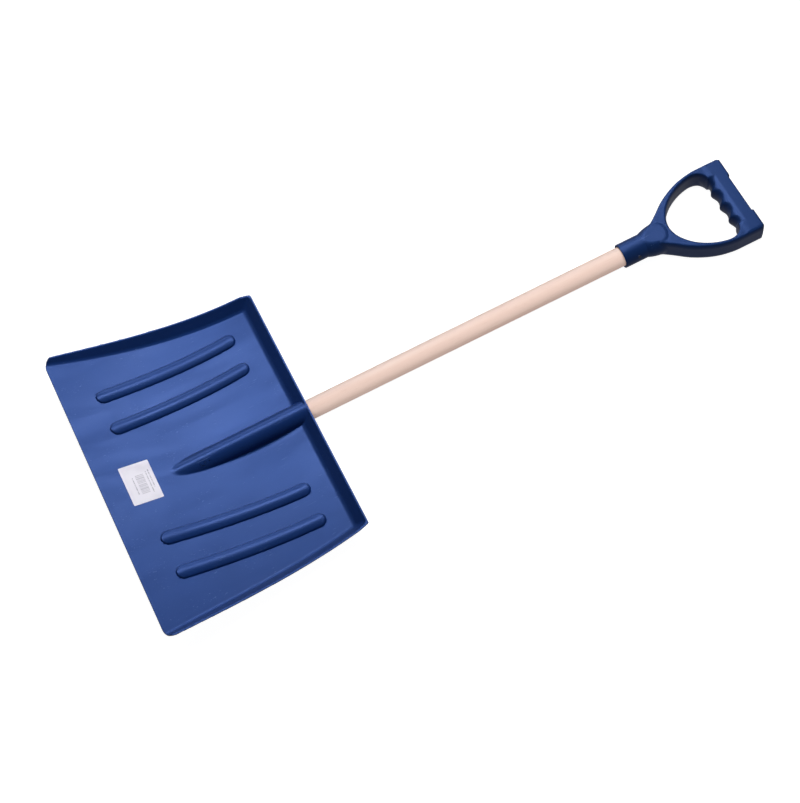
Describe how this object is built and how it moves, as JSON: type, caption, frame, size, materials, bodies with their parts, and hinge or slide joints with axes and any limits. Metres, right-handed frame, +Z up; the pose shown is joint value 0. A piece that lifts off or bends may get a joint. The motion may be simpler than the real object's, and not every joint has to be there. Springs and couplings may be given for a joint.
{
  "type": "snow shovel",
  "caption": "Snow shovel: shallow ribbed plastic scoop with flared walls, round wooden shaft and plastic D-grip, lying on its back.",
  "frame": {"origin": "middle of the shovel's length and width, on the ground under the socket and the grip", "axes": "+X from the cutting edge to the grip, +Y across the blade, +Z up out of the scoop"},
  "size_m": [0.968, 0.4462, 0.0677],
  "materials": {
    "blade_plastic": "satin moulded polypropylene, dark blue",
    "shaft_wood": "bare pale hardwood, sanded",
    "grip_plastic": "satin moulded polypropylene, dark blue",
    "label_paper": "white printed paper sticker",
    "zinc_steel": "zinc plated",
    "nail_steel": "bright steel"
  },
  "bodies": {
    "root": {"blade": "blade_plastic", "shaft": "shaft_wood", "d_grip": "grip_plastic", "label": "label_paper", "blade_screw": "zinc_steel", "grip_nail": "nail_steel"}
  },
  "joints": []
}
